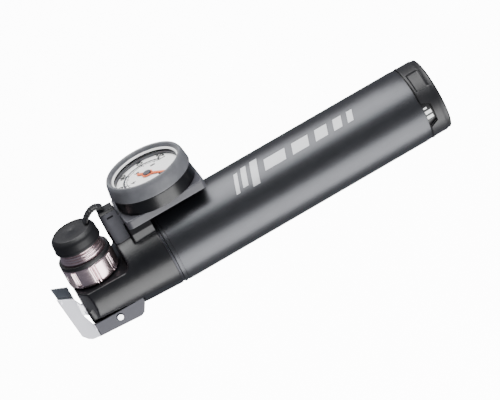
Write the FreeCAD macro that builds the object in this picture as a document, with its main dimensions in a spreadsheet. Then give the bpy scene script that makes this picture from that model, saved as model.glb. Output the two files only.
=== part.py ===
"""Bicycle mini pump with a gauge, a thumb-lock chuck and a mode selector, in millimetres.

The origin is the mouth of the valve port: +Z points out of the port, towards the dust cap, and +X
runs along the barrel towards the selector. Distances along X are measured from the chuck's axis and
heights from the barrel's centre line, which lies axis_drop below the origin.
"""
import FreeCAD, Part
import os
import re

import Sketcher
from FreeCAD import Placement, Rotation, Vector

SIZES = {
    # overall layout
    "axis_drop": (22.0, "barrel's centre line below the port's mouth"),
    "joint_x": (28.2, "plane where the barrel meets the head, from the chuck's axis"),
    "gap": (0.3, "running gap between pieces that move past each other"),
    "fit": (0.08, "radial clearance of a shaft in its bearing"),
    # barrel and handle end
    "barrel_length": (108.5, "sliding barrel"),
    "barrel_radius": (15.0, "barrel, outside"),
    "barrel_bore": (13.2, "barrel, inside radius"),
    "lip_width": (1.2, "lip in front of the barrel's fine groove"),
    "groove_width": (0.5, "fine groove behind the lip"),
    "groove_depth": (0.3, "depth of the fine groove"),
    "bush_length": (8.0, "bearing bush in the barrel's mouth"),
    "bush_setback": (1.0, "bush behind the barrel's mouth"),
    "wiper_depth": (1.5, "radial depth of the wiper's groove"),
    "wiper_width": (2.0, "width of the wiper"),
    "plug_length": (4.5, "end plug inside the barrel"),
    "neck_radius": (8.5, "neck of the end plug"),
    "neck_length": (6.2, "neck beyond the barrel"),
    "screw_radius": (1.5, "selector's screw"),
    "screw_grip": (2.5, "screw's length inside the plug"),
    "screw_head_radius": (3.2, "head of the selector's screw"),
    "screw_head_height": (0.8, "height of that head"),
    "cap_length": (8.7, "selector cap"),
    "cap_wall": (1.1, "side wall of the selector cap"),
    "cap_round": (2.5, "rounding of the selector cap's end"),
    "window_depth": (3.6, "selector window, along the axis"),
    "window_half": (5.5, "half width of the window at the barrel"),
    "window_taper": (1.7, "how much each side of the window closes in"),
    "ball_radius": (1.0, "detent ball"),
    "ball_floor": (0.8, "floor of the ball's pocket above the neck"),
    "ball_spring": (0.6, "detent spring"),
    "ball_wire": (0.15, "its wire's radius"),
    # air tube and piston
    "tube_radius": (5.0, "air tube, outside"),
    "tube_bore": (3.6, "air tube, inside radius"),
    "tube_socket": (10.0, "air tube's depth in the head"),
    "piston_setback": (1.5, "closed piston to the end plug"),
    "piston_length": (6.0, "piston"),
    "seal_width": (2.0, "piston seal"),
    "seal_depth": (2.0, "radial depth of the seal's groove"),
    "seat_thickness": (0.8, "rubber seat at the air tube's end"),
    "air_bore": (1.8, "radius of the air passage"),
    "poppet_radius": (3.0, "non-return poppet"),
    "poppet_thickness": (0.9, "its disc"),
    "poppet_lift": (1.2, "its travel"),
    "chamber_length": (4.2, "chamber of the non-return valve"),
    "chamber_room": (0.4, "chamber's wall from the poppet"),
    "poppet_nose": (1.0, "radius of the poppet's nose"),
    "spring_radius": (2.2, "valve spring"),
    "spring_wire": (0.25, "its wire's radius"),
    # head
    "head_root_radius": (14.8, "head at the joint"),
    "head_nose_radius": (13.4, "head at its nose"),
    "joint_gap": (0.8, "space between the head and the barrel, filled by the washer"),
    "washer_inset": (0.3, "washer inside the head's edge"),
    "washer_play": (0.1, "space between the washer and the closed barrel"),
    "nose_x": (9.8, "nose beyond the chuck's axis"),
    "pocket_wall": (11.9, "pocket's wall, from the chuck's axis"),
    "shelf_height": (5.3, "pocket's floor"),
    "pocket_corner": (3.0, "rounding inside the pocket"),
    "nose_flat": (8.0, "half width of the nose's end face"),
    "nose_bevel": (3.6, "length of the bevel beside it"),
    "belly_nose": (8.5, "underside below the centre line, at the nose"),
    "side_bevel_nose": (17.5, "half width plus depth on the lower side bevel, at the nose"),
    "side_bevel_root": (20.9, "the same at the joint"),
    "pedestal_length": (9.0, "pedestal under the gauge's saddle"),
    "pedestal_half": (8.5, "its half width"),
    # chuck
    "port_radius": (4.0, "bore for the tyre valve"),
    "spigot_radius": (7.2, "threaded spigot"),
    "spigot_bore": (5.6, "its bore"),
    "spigot_foot": (2.0, "its foot below the centre line"),
    "spigot_top": (15.0, "its upper end"),
    "lip_height": (17.5, "underside of the collar's lip"),
    "collar_foot": (5.7, "lower end of the collar"),
    "collar_radius": (10.4, "fluted part of the collar"),
    "collar_foot_radius": (9.75, "collar's lower edge"),
    "collar_shoulder": (13.8, "upper end of the fluted part"),
    "oring_height": (1.5, "black ring in the collar's groove"),
    "oring_seat": (9.0, "groove's radius"),
    "thread_top": (19.5, "upper end of the ringed part"),
    "thread_radius": (8.4, "ringed part at its top"),
    "neck_out": (6.8, "smooth neck inside the dust cap"),
    "grommet_foot": (8.2, "lower end of the grommet"),
    "grommet_flange": (7.0, "radius of the grommet's flange"),
    "plunger_top": (5.4, "plunger's upper face at rest"),
    "plunger_head": (3.0, "height of its head"),
    "plunger_stem": (2.6, "radius of its stem"),
    "core_pin": (1.0, "radius of the pin that opens a valve"),
    "core_pin_top": (8.0, "upper end of that pin"),
    "seal_height": (1.0, "plunger's seals"),
    "seal_groove": (0.9, "radial depth of their grooves"),
    "stem_seal": (2.4, "stem's seal below the spigot's foot"),
    "crown_play": (0.2, "plunger's head inside its seal's edge"),
    # dust cap
    "skirt_height": (20.0, "lower edge of the dust cap"),
    "skirt_radius": (9.2, "dust cap at its lower edge"),
    "cap_shoulder": (24.3, "height of its bevel"),
    "cap_top": (25.8, "its top face"),
    "cap_top_radius": (7.3, "radius of the top face"),
    "cap_roof": (2.0, "thickness of the top"),
    "strap_half": (2.3, "half width of the strap"),
    "strap_thickness": (1.6, "strap"),
    # thumb lever
    "pin_drop": (10.6, "lever pin below the centre line"),
    "pin_radius": (1.4, "lever pin"),
    "flange_half": (10.0, "lever's flanges, middle of the sheet, from the mid-plane"),
    "sheet": (1.0, "thickness of the lever's sheet"),
    "lug_half": (8.7, "half width of the lug that holds the pin"),
    "lug_depth": (14.0, "bottom of the lug below the centre line"),
    "cam_radius": (3.8, "eccentric cam"),
    "cam_offset": (0.75, "cam's centre from the pin, along X and down"),
    "cam_half": (4.0, "half width of the cam"),
    "pad_half": (5.0, "half width of the thumb pad"),
    "lever_sweep": (11.6, "farthest corner of the flanges from the pin"),
    # gauge
    "saddle_overhang": (0.6, "saddle beyond the case, at each end"),
    "saddle_half": (12.5, "half width of the saddle"),
    "saddle_foot": (19.2, "underside of the saddle"),
    "saddle_top": (22.8, "top of the saddle"),
    "saddle_round": (2.0, "its corner radius"),
    "saddle_screw": (1.1, "radius of the saddle's screws"),
    "screw_pitch": (6.0, "those screws from the mid-plane"),
    "screw_depth": (5.0, "their depth in the head"),
    "post_left": (11.4, "post's left edge"),
    "post_right": (18.2, "post's right edge"),
    "post_half": (7.3, "half width of the post at the pocket's floor"),
    "post_tip_half": (2.6, "half width of the post at its top"),
    "post_top": (25.6, "top of the post"),
    "post_round": (2.4, "rounding of the post's outer corners"),
    "anchor_height": (1.2, "block that holds the strap"),
    "case_radius": (16.0, "gauge case"),
    "case_wall": (1.4, "its wall"),
    "case_floor": (1.2, "its floor"),
    "bezel_foot": (28.4, "lower edge of the bezel"),
    "bezel_overhang": (0.5, "bezel beyond the case"),
    "bezel_gap": (0.5, "space between the bezel and the post"),
    "bezel_rim": (2.8, "from the case's outside to the bezel's opening"),
    "bezel_crease": (33.2, "height of the crease"),
    "bezel_top": (34.35, "bezel's highest edge"),
    "lens_height": (32.0, "lens's upper face"),
    "lens_thickness": (0.8, "lens"),
    "dial_height": (30.0, "dial's face"),
    "dial_thickness": (0.6, "dial"),
    "needle_short": (1.6, "tip inside the bezel's opening"),
    "needle_tail": (5.0, "tail from the axis"),
    "blade": (0.4, "thickness of the needle's blade"),
    "blade_width": (1.3, "its width"),
    "hub_radius": (1.9, "disc on the needle"),
    "arbor_radius": (0.6, "gauge spindle"),
    "pinion_radius": (1.0, "pinion on the spindle"),
    "sector_reach": (7.0, "sector's pivot from the spindle"),
    "stem_radius": (2.0, "gauge inlet"),
    "stem_foot": (12.0, "lower end of the gauge inlet"),
    "bourdon_room": (2.6, "bourdon tube's middle inside the case's wall"),
    "bourdon_tube": (0.8, "radius of that tube"),
    "bourdon_lift": (1.2, "its middle above the case's floor"),
    "movement_thickness": (0.6, "plate under the movement"),
    "movement_rim": (4.0, "that plate inside the bezel's opening"),
    "gear_thickness": (0.7, "toothed sector"),
    "gear_drop": (0.5, "sector below the bezel's foot"),
    "pinion_length": (1.0, "pinion"),
    "needle_lift": (0.5, "needle's middle above the dial"),
    "disc_thickness": (0.6, "disc on the needle"),
}

doc = FreeCAD.newDocument("mini_pump")
sheet = doc.addObject("Spreadsheet::Sheet", "Sizes")
for row, (alias, (value, meaning)) in enumerate(SIZES.items(), start=1):
    sheet.set(f"A{row}", meaning)
    sheet.set(f"B{row}", str(value))
    sheet.setAlias(f"B{row}", alias)
doc.recompute()

# places that follow from the sizes
FACE_X = "(joint_x - joint_gap)"
WIDE = "(4 * barrel_radius)"
BEZEL_RADIUS = "(case_radius + bezel_overhang)"
BEZEL_LIP = "(case_radius - bezel_rim)"
NEEDLE_LENGTH = f"({BEZEL_LIP} - needle_short)"
BOURDON_RADIUS = "(case_radius - case_wall - bourdon_room)"
GAUGE_X = f"(post_right + bezel_gap + {BEZEL_RADIUS})"
SADDLE_LEFT = f"({GAUGE_X} - case_radius - saddle_overhang)"
SADDLE_RIGHT = f"({GAUGE_X} + case_radius + saddle_overhang)"
STEM_X = f"({GAUGE_X} - {BOURDON_RADIUS})"

WORD = re.compile(r"[a-z][a-z_]*")
ROUND_X = Rotation(Vector(0, 1, 0), 90)
ROUND_Y = Rotation(Vector(1, 0, 0), 90)
SIDES = (("near", "-1"), ("far", "1"))
SECTOR_SWING = 54
subparts = []


def bound(formula):
    """Writes a formula of size names as an expression on the sheet."""
    return WORD.sub(lambda word: f"Sizes.{word[0]}" if word[0] in SIZES else word[0], str(formula))


def amount(formula):
    """The present value of a formula of size names."""
    return float(sheet.evalExpression(bound(formula)))


def bind(piece, **formulas):
    """Ties properties to formulas; a double underscore stands for a dot."""
    for name, formula in formulas.items():
        piece.setExpression(name.replace("__", "."), bound(formula))
    return piece


def place(piece, x="0", y="0", z="0", turn=None):
    """Puts a piece at a distance x from the chuck's axis and a height z above the centre line."""
    if turn:
        piece.Placement = Placement(Vector(), turn)
    return bind(piece, Placement__Base__x=x, Placement__Base__y=y, Placement__Base__z=f"{z} - axis_drop")


def node(piece, label):
    """Names a finished sub-part."""
    piece.Label = label
    subparts.append(piece)
    return piece


def outline(body, points):
    """A closed outline of straight lines on the body's XZ plane, each corner tied to its formulas."""
    sketch = body.newObject("Sketcher::SketchObject", body.Name + "_outline")
    plane = next(item for item in body.Origin.OriginFeatures if item.Role == "XZ_Plane")
    sketch.AttachmentSupport = (plane, [""])
    sketch.MapMode = "FlatFace"
    corners = [Vector(amount(across), amount(up), 0) for across, up in points]
    last = len(corners) - 1
    for index, corner in enumerate(corners):
        sketch.addGeometry(Part.LineSegment(corner, corners[0 if index == last else index + 1]))
    for index in range(last + 1):
        follower = 0 if index == last else index + 1
        sketch.addConstraint(Sketcher.Constraint("Coincident", index, 2, follower, 1))
    for index, (across, up) in enumerate(points):
        for kind, formula in (("DistanceX", across), ("DistanceY", up)):
            datum = Sketcher.Constraint(kind, -1, 1, index, 1, amount(formula))
            number = sketch.addConstraint(datum)
            sketch.setExpression(f"Constraints[{number}]", bound(formula))
    return sketch


def turned(name, points, axis="Z", x="0", y="0", z="0"):
    """A turned piece; each point is (radius, distance along the axis)."""
    body = doc.addObject("PartDesign::Body", name)
    along_x = axis == "X"
    sketch = outline(body, [(far, near) for near, far in points] if along_x else points)
    turn = body.newObject("PartDesign::Revolution", name + "_turn")
    turn.Profile = sketch
    turn.ReferenceAxis = (sketch, ["H_Axis" if along_x else "V_Axis"])
    turn.Angle = 360
    sketch.Visibility = False
    return place(body, x, y, z)


def plate(name, points, thickness, x="0", y="0", z="0", turn=None):
    """A flat piece; its outline lies in the XZ plane and half its thickness is on each side of y."""
    body = doc.addObject("PartDesign::Body", name)
    sketch = outline(body, points)
    pad = body.newObject("PartDesign::Pad", name + "_pad")
    pad.Profile = sketch
    pad.Midplane = True
    bind(pad, Length=thickness)
    sketch.Visibility = False
    return place(body, x, y, z, turn)


def block(name, x_from, x_to, y_from, y_to, z_from, z_to):
    """A box between three pairs of planes."""
    box = doc.addObject("Part::Box", name)
    bind(box, Length=f"({x_to}) - ({x_from})", Width=f"({y_to}) - ({y_from})",
         Height=f"({z_to}) - ({z_from})")
    return place(box, x_from, y_from, z_from)


def rod(name, radius, length, x="0", y="0", z="0", turn=None):
    """A cylinder that starts at (x, y, z) and follows its turned Z axis."""
    cylinder = doc.addObject("Part::Cylinder", name)
    bind(cylinder, Radius=radius, Height=length)
    return place(cylinder, x, y, z, turn)


def union(name, pieces):
    """Several solids as one."""
    whole = doc.addObject("Part::MultiFuse", name)
    whole.Shapes = pieces
    return whole


def group(name, pieces):
    """Separate solids kept together in one sub-part."""
    compound = doc.addObject("Part::Compound", name)
    compound.Links = pieces
    return compound


def cut(name, base, tools):
    """A solid without its tools."""
    result = doc.addObject("Part::Cut", name)
    result.Base = base
    result.Tool = tools[0] if len(tools) == 1 else union(name + "_tools", tools)
    return result


def rounded(name, base, radius, chosen):
    """A solid with the edges that pass the test rounded."""
    doc.recompute()
    fillet = doc.addObject("Part::Fillet", name)
    fillet.Base = base
    size = amount(radius)
    edges = enumerate(base.Shape.Edges, start=1)
    fillet.Edges = [(index, size, size) for index, edge in edges if chosen(edge)]
    return fillet


def ring(name, inner, outer, start, end, axis="Z", x="0", z="0"):
    """A plain ring."""
    return turned(name, [(inner, start), (outer, start), (outer, end), (inner, end)], axis, x, "0", z)


def coil(name, radius, wire, turns, height, x, y, z, turn):
    """A helical spring."""
    helix = doc.addObject("Part::Helix", name + "_path")
    bind(helix, Radius=radius, Height=height, Pitch=f"({height}) / {turns}")
    circle = doc.addObject("Part::Circle", name + "_wire")
    bind(circle, Radius=wire, Placement__Base__x=radius)
    circle.Placement.Rotation = ROUND_Y
    spring = doc.addObject("Part::Sweep", name)
    spring.Sections = [circle]
    spring.Spine = (helix, ["Edge1"])
    spring.Solid = True
    spring.Frenet = True
    return place(spring, x, y, z, turn)


def is_inner_corner(edge):
    """True for the edge along Y where the pocket's wall meets its floor."""
    middle = edge.CenterOfMass
    return abs(middle.x - amount("pocket_wall")) + abs(middle.z - amount("shelf_height - axis_drop")) < 1e-6


def is_outer_corner(edge):
    """True for an edge that climbs the post's outer side."""
    heights = [corner.Point.z for corner in edge.Vertexes]
    return abs(edge.CenterOfMass.x - amount("post_left")) < 1e-6 and abs(heights[0] - heights[-1]) > 1e-6


def is_upright(edge):
    """True for an edge parallel to Z."""
    start, end = edge.Vertexes[0].Point, edge.Vertexes[-1].Point
    return abs(start.x - end.x) + abs(start.y - end.y) < 1e-6 and abs(start.z - end.z) > 1e-6


# ---------------------------------------------------------------- head
def head_hull(name):
    """The head's tapered outside, with its nose, underside and lower sides bevelled."""
    length = f"({FACE_X} + nose_x)"
    hull = turned(f"{name}_cone", [("0", "0"), ("head_root_radius", "0"),
                                   ("head_nose_radius", f"-{length}"), ("0", f"-{length}")],
                  "X", x=FACE_X)

    def underside(label, nose_depth, root_depth, turn=None):
        points = [("-nose_x - 1", f"-{nose_depth}"), ("joint_x", f"-{root_depth}"),
                  ("joint_x", "-2 * barrel_radius"), ("-nose_x - 1", "-2 * barrel_radius")]
        return plate(f"{name}_{label}", points, WIDE, turn=turn)

    tools = [underside("belly", "belly_nose", "head_root_radius")]
    for side, sign in SIDES:
        tilt = Rotation(Vector(1, 0, 0), 45 * int(sign))
        tools.append(underside(f"flank_{side}", "side_bevel_nose / sqrt(2)", "side_bevel_root / sqrt(2)",
                               tilt))
        corner = [("-nose_x - 1", "nose_flat - (head_nose_radius - nose_flat) / nose_bevel"),
                  ("-nose_x + nose_bevel", "head_nose_radius"),
                  ("-nose_x + nose_bevel", "2 * barrel_radius"), ("-nose_x - 1", "2 * barrel_radius")]
        upright = Rotation(Vector(1, 0, 0), -90 * int(sign))
        tools.append(plate(f"{name}_corner_{side}", corner, WIDE, turn=upright))
    return cut(name, hull, tools)


def make_head():
    """The moulded head with its passages, cavities and the lug for the lever's pin."""
    hull = head_hull("head_hull")
    pocket = block("pocket_block", "-nose_x - 1", "pocket_wall", "-2 * barrel_radius", "2 * barrel_radius",
                   "shelf_height", "2 * barrel_radius")
    pocket = rounded("pocket", pocket, "pocket_corner", is_inner_corner)
    shaped = cut("head_pocketed", hull, [pocket])
    pedestal = block("pedestal", f"{FACE_X} - pedestal_length", FACE_X, "-pedestal_half", "pedestal_half",
                     "head_root_radius / 2", "saddle_foot")
    lug = block("lug", "-cam_radius - 2", "cam_radius + 4", "-lug_half", "lug_half", "-lug_depth",
                "-belly_nose + 1")
    solid = union("head_solid", [shaped, pedestal, lug])
    socket_x = "joint_x - tube_socket - seat_thickness"
    chamber_x = f"{socket_x} - chamber_length"
    tools = [
        rod("spigot_hole", "spigot_radius", "shelf_height + spigot_foot + 1", z="-spigot_foot"),
        rod("stem_guide", "plunger_stem + fit", "pin_drop + 2", z="-pin_drop"),
        rod("tube_hole", "tube_radius", f"joint_x - ({socket_x})", x=socket_x, turn=ROUND_X),
        rod("valve_chamber", "poppet_radius + chamber_room", "chamber_length + 1", x=chamber_x, turn=ROUND_X),
        rod("air_passage", "air_bore", f"{chamber_x} + 1", turn=ROUND_X),
        rod("gauge_riser", "stem_radius / 2", "pedestal_half + 1", x=f"{chamber_x} + 2", z="0"),
        rod("gauge_drift", "stem_radius / 2", f"{STEM_X} - ({chamber_x}) - 2", x=f"{chamber_x} + 2",
            z="pedestal_half", turn=ROUND_X),
        rod("gauge_drop", "stem_radius / 2", "saddle_foot - pedestal_half", x=STEM_X, z="pedestal_half"),
        rod("gauge_well", "stem_radius", "saddle_foot", x=STEM_X, z="stem_foot"),
        block("cam_cavity", "-cam_radius - gap", "cam_radius + cam_offset * sqrt(2) + gap", "-cam_half - gap",
              "cam_half + gap", "-2 * barrel_radius",
              "-pin_drop + cam_radius + cam_offset + gap"),
        rod("pin_hole", "pin_radius + fit", "3 * lug_half", y="1.5 * lug_half", z="-pin_drop", turn=ROUND_Y),
    ]
    for side, sign in SIDES:
        tools.append(rod(f"lever_slot_{side}", "lever_sweep", "sheet + 4 * gap",
                         y=f"{sign} * flange_half + (sheet + 4 * gap) / 2", z="-pin_drop", turn=ROUND_Y))
        tools.append(rod(f"saddle_screw_hole_{side}", "saddle_screw", "saddle_foot",
                         x=STEM_X, y=f"{sign} * screw_pitch", z="saddle_foot - screw_depth"))
    node(cut("head_body", solid, tools), "head_body")


def make_head_fittings():
    """Washer, air tube, seat, non-return valve and piston."""
    node(ring("head_washer", "tube_radius", "head_root_radius - washer_inset", FACE_X,
              "joint_x - washer_play", "X"), "head_washer")
    socket = "joint_x - tube_socket"
    node(ring("tube_seal", "air_bore", "tube_radius", f"{socket} - seat_thickness", socket, "X"), "tube_seal")
    tube_end = "joint_x + barrel_length - plug_length - piston_setback - piston_length / 2"
    node(ring("inner_tube", "tube_bore", "tube_radius", socket, tube_end, "X"), "inner_tube")
    edge = "barrel_bore - gap"
    floor = f"{edge} - seal_depth"
    start, end = f"{tube_end} - piston_length / 2", f"{tube_end} + piston_length / 2"
    seal_start = f"{tube_end} - seal_width / 2"
    seal_end = f"{tube_end} + seal_width / 2"
    node(turned("piston", [("tube_radius", start), (edge, start), (edge, seal_start), (floor, seal_start),
                           (floor, seal_end), (edge, seal_end), (edge, end), ("air_bore", end),
                           ("air_bore", tube_end), ("tube_radius", tube_end)], "X"), "piston")
    node(ring("piston_seal", floor, "barrel_bore - fit", seal_start, seal_end, "X"), "piston_seal")
    seat = f"{socket} - seat_thickness - gap"
    node(turned("check_poppet", [("0", seat), ("poppet_radius", seat),
                                 ("poppet_radius", f"{seat} - poppet_thickness"),
                                 ("poppet_nose", f"{seat} - poppet_thickness"),
                                 ("poppet_nose", f"{seat} - chamber_length / 2"),
                                 ("0", f"{seat} - chamber_length / 2")], "X"), "check_poppet")
    spring_length = "chamber_length - gap - poppet_thickness - poppet_lift - gap"
    node(coil("valve_spring", "spring_radius", "spring_wire", 3, f"{spring_length} - 2 * spring_wire",
              f"{socket} - seat_thickness - chamber_length + spring_wire", "0", "0", ROUND_X), "valve_spring")


# ---------------------------------------------------------------- chuck
def make_chuck():
    """Spigot, grommet, collar with its black ring, plunger and dust cap."""
    spigot = ring("spigot_tube", "spigot_bore", "spigot_radius", "-spigot_foot", "spigot_top")
    inlet = rod("spigot_inlet", "air_bore", "2 * spigot_radius", turn=ROUND_X)
    node(cut("chuck_spigot", spigot, [inlet]), "chuck_spigot")
    node(turned("valve_grommet", [("port_radius", "grommet_foot"), ("spigot_bore", "grommet_foot"),
                                  ("spigot_bore", "spigot_top"), ("grommet_flange", "spigot_top"),
                                  ("grommet_flange", "lip_height - gap"),
                                  ("port_radius", "lip_height - gap")]), "valve_grommet")
    inside = "spigot_radius + gap"
    groove_top = "collar_shoulder + oring_height + 0.1"
    node(turned("chuck_collar", [(inside, "collar_foot"), ("collar_foot_radius", "collar_foot"),
                                 ("collar_radius", "collar_foot + 1"), ("collar_radius", "collar_shoulder"),
                                 ("oring_seat", "collar_shoulder"), ("oring_seat", groove_top),
                                 ("thread_radius", "thread_top"), ("neck_out", "thread_top"),
                                 ("neck_out", "axis_drop"), ("port_radius", "axis_drop"),
                                 ("port_radius", "lip_height"), (inside, "lip_height")]), "chuck_collar")
    node(ring("collar_oring", "oring_seat", "collar_radius - 0.1", "collar_shoulder", groove_top),
         "collar_oring")
    make_plunger()
    make_dust_cap()


def make_plunger():
    """Slider that squeezes the grommet, with an air hole up to its core pin and two seals."""
    crown = "spigot_bore - fit - crown_play"
    middle = "plunger_top - plunger_head / 2"
    seats = (("head", f"{middle} - seal_height / 2", f"{middle} + seal_height / 2", "spigot_bore - fit"),
             ("stem", "-spigot_foot - stem_seal", "-spigot_foot - stem_seal + seal_height",
              "plunger_stem + fit / 2"))
    foot = "-pin_drop + cam_radius - cam_offset + gap"
    shaft = turned("plunger_shaft", [("0", foot), ("plunger_stem", foot),
                                     ("plunger_stem", "plunger_top - plunger_head"),
                                     (crown, "plunger_top - plunger_head"), (crown, "plunger_top"),
                                     ("core_pin", "plunger_top"), ("core_pin", "core_pin_top"),
                                     ("0", "core_pin_top")])
    tools = [rod("plunger_air", "core_pin / 2", "core_pin_top + 1"),
             rod("plunger_inlet", "core_pin / 2", "plunger_stem + 1", turn=ROUND_X)]
    seals = []
    for where, low, high, outer in seats:
        depth = f"{outer} - seal_groove"
        tools.append(ring(f"groove_{where}", depth, "spigot_radius", low, high))
        seals.append(ring(f"seal_{where}", depth, outer, low, high))
    node(cut("plunger", shaft, tools), "plunger")
    node(group("plunger_orings", seals), "plunger_orings")


def make_dust_cap():
    """Rubber cap over the port, and its strap up to the block on the post."""
    node(turned("dust_cap", [("neck_out + gap", "skirt_height"), ("skirt_radius", "skirt_height"),
                             ("skirt_radius - 0.2", "cap_shoulder"), ("cap_top_radius", "cap_top"),
                             ("0", "cap_top"), ("0", "cap_top - cap_roof"),
                             ("neck_out + gap", "cap_top - cap_roof")]), "dust_cap")
    seat = "post_top + anchor_height + gap"
    top = f"{seat} + strap_thickness"
    root = "cap_top_radius - 0.4"
    strap = [(root, "cap_shoulder"), ("skirt_radius - 0.4", "cap_shoulder"),
             (f"{root} + strap_thickness + 0.2", "cap_top + 0.6"), ("post_left - 1.2", f"{seat} + 1.5"),
             ("post_left - 0.4", f"{seat} + 1.3"), ("post_left + 0.6", seat), ("post_left + 2.8", seat),
             ("post_left + 2.8", top), ("post_left + 1.2", f"{top} + 0.3"),
             ("post_left - 0.2", f"{top} + 1.5"), ("post_left - 1.8", f"{top} + 1.5"),
             (f"{root} + 0.4", "cap_top + 2")]
    whole = plate("strap_whole", strap, "2 * strap_half")
    bevel = turned("strap_clearance", [("0", "cap_shoulder - 1"), ("skirt_radius - 0.2", "cap_shoulder - 1"),
                                       ("skirt_radius - 0.2", "cap_shoulder"), ("cap_top_radius", "cap_top"),
                                       ("0", "cap_top")])
    node(cut("cap_strap", whole, [bevel]), "cap_strap")


# ---------------------------------------------------------------- thumb lever
def make_lever():
    """Steel lever: two flanges, two cheeks that lean inwards, a web, the pad, the pin and the cam."""
    back, front = "pocket_wall - 1", "-nose_x - 0.4"
    sheet_y = "flange_half"
    flange = [(front, "-pin_drop - 3"), ("post_left - 4", "-pin_drop - 4.2"),
              ("post_left - 2.4", "-pin_drop - 3.3"), (back, "-pin_drop + 0.2"),
              (back, "-pin_drop + 2.4"), (front, "-pin_drop + 2.6")]
    cheek = [("-nose_x + 0.2", "2.6"), ("-nose_x - 0.3", "2.7"), ("-nose_x - 2", "7.6"),
             ("-nose_x - 1.7", "14.2"), ("-nose_x - 7.8", "17.5"), ("-nose_x - 6.2", "0.6"), ("-nose_x - 4.6", "-1.4"),
             ("-nose_x - 3", "-2.4"), ("-nose_x + 0.2", "-2.8")]
    pieces = []
    lean = amount("atan((flange_half - pad_half) / (pin_drop + shelf_height + 1))")
    for side, sign in SIDES:
        pieces.append(plate(f"flange_{side}", flange, "sheet", y=f"{sign} * {sheet_y}"))
        tilt = Rotation(Vector(1, 0, 0), lean * int(sign))
        pieces.append(plate(f"cheek_{side}", cheek, "sheet", y=f"{sign} * {sheet_y}", z="-pin_drop",
                            turn=tilt))
    web = [("-nose_x - 5.6", "-pin_drop + 0.6"), ("-nose_x - 4.8", "-pin_drop + 0.6"),
           ("-nose_x - 6.4", "shelf_height - 0.4"), ("-nose_x - 7.2", "shelf_height - 0.4")]
    seat = [("-nose_x - 1.8", "shelf_height - 3.4"), ("-nose_x - 1.8", "shelf_height - 2.6"),
            ("-nose_x - 7.4", "shelf_height + 0.2"), ("-nose_x - 7.4", "shelf_height - 0.7")]
    pieces.append(plate("web", web, "2 * pad_half + 2.4"))
    pieces.append(plate("pad_seat", seat, "2 * pad_half + 0.8"))
    whole = union("lever_sheet", pieces)
    hole = rod("lever_hole", "pin_radius", "3 * flange_half", y="1.5 * flange_half", z="-pin_drop",
               turn=ROUND_Y)
    node(cut("thumb_lever", whole, [hole]), "thumb_lever")
    pad = [("-nose_x - 1.8", "shelf_height - 2.6"), ("-nose_x - 7.4", "shelf_height + 0.2"),
           ("-nose_x - 7.4", "shelf_height + 1.5"), ("-nose_x - 1.8", "shelf_height - 1.4")]
    node(plate("lever_pad", pad, "2 * pad_half - 1.6"), "lever_pad")
    pin_end = "(flange_half + sheet / 2 + 0.4)"
    node(rod("lever_pin", "pin_radius", f"2 * {pin_end}", y=pin_end, z="-pin_drop", turn=ROUND_Y),
         "lever_pin")
    disc = rod("cam_disc", "cam_radius", "2 * cam_half", x="cam_offset", y="cam_half",
               z="-pin_drop - cam_offset", turn=ROUND_Y)
    bore = rod("cam_bore", "pin_radius", "4 * cam_half", y="2 * cam_half", z="-pin_drop", turn=ROUND_Y)
    node(cut("lever_cam", disc, [bore]), "lever_cam")


# ---------------------------------------------------------------- gauge
def make_bracket():
    """Saddle under the gauge and the post beside the chuck, with their screws and the strap's block."""
    saddle = block("saddle_block", SADDLE_LEFT, SADDLE_RIGHT, "-saddle_half",
                   "saddle_half", "saddle_foot", "saddle_top")
    saddle = rounded("saddle", saddle, "saddle_round", is_upright)
    sides = [("-post_half", "shelf_height"), ("post_half", "shelf_height"), ("post_tip_half", "post_top"),
             ("-post_tip_half", "post_top")]
    post = plate("post_block", sides, "post_right - post_left", x="(post_left + post_right) / 2",
                 turn=Rotation(Vector(0, 0, 1), 90))
    post = rounded("post", post, "post_round", is_outer_corner)
    rib = block("post_rib", "post_right - 1", f"{SADDLE_LEFT} + 1", "-post_tip_half", "post_tip_half",
                "saddle_foot", "saddle_top")
    whole = union("bracket_solid", [saddle, post, rib])
    tools = [head_hull("bracket_seat"),
             block("bracket_pedestal", f"{FACE_X} - pedestal_length", FACE_X, "-pedestal_half",
                   "pedestal_half", "head_root_radius / 2", "saddle_foot"),
             rod("bracket_stem_hole", "stem_radius", "saddle_top", x=STEM_X, z="stem_foot")]
    screws = []
    for side, sign in SIDES:
        centre = {"x": STEM_X, "y": f"{sign} * screw_pitch"}
        low, top = "saddle_foot - screw_depth", "saddle_top"
        screws.append(turned(f"saddle_screw_{side}", [("0", low), ("saddle_screw", low),
                                                      ("saddle_screw", f"{top} - 2"),
                                                      ("2 * saddle_screw", f"{top} - 2"),
                                                      ("2 * saddle_screw", f"{top} - 0.4"),
                                                      ("0", f"{top} - 0.4")], **centre))
        tools.append(rod(f"screw_shank_{side}", "saddle_screw", "saddle_top", z=low, **centre))
        tools.append(rod(f"screw_seat_{side}", "2 * saddle_screw", "saddle_top", z=f"{top} - 2", **centre))
    node(cut("gauge_bracket", whole, tools), "gauge_bracket")
    node(group("bracket_screws", screws), "bracket_screws")
    node(block("strap_anchor", "post_left + gap", "post_right - gap", "-post_tip_half", "post_tip_half",
               "post_top", "post_top + anchor_height"), "strap_anchor")


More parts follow.
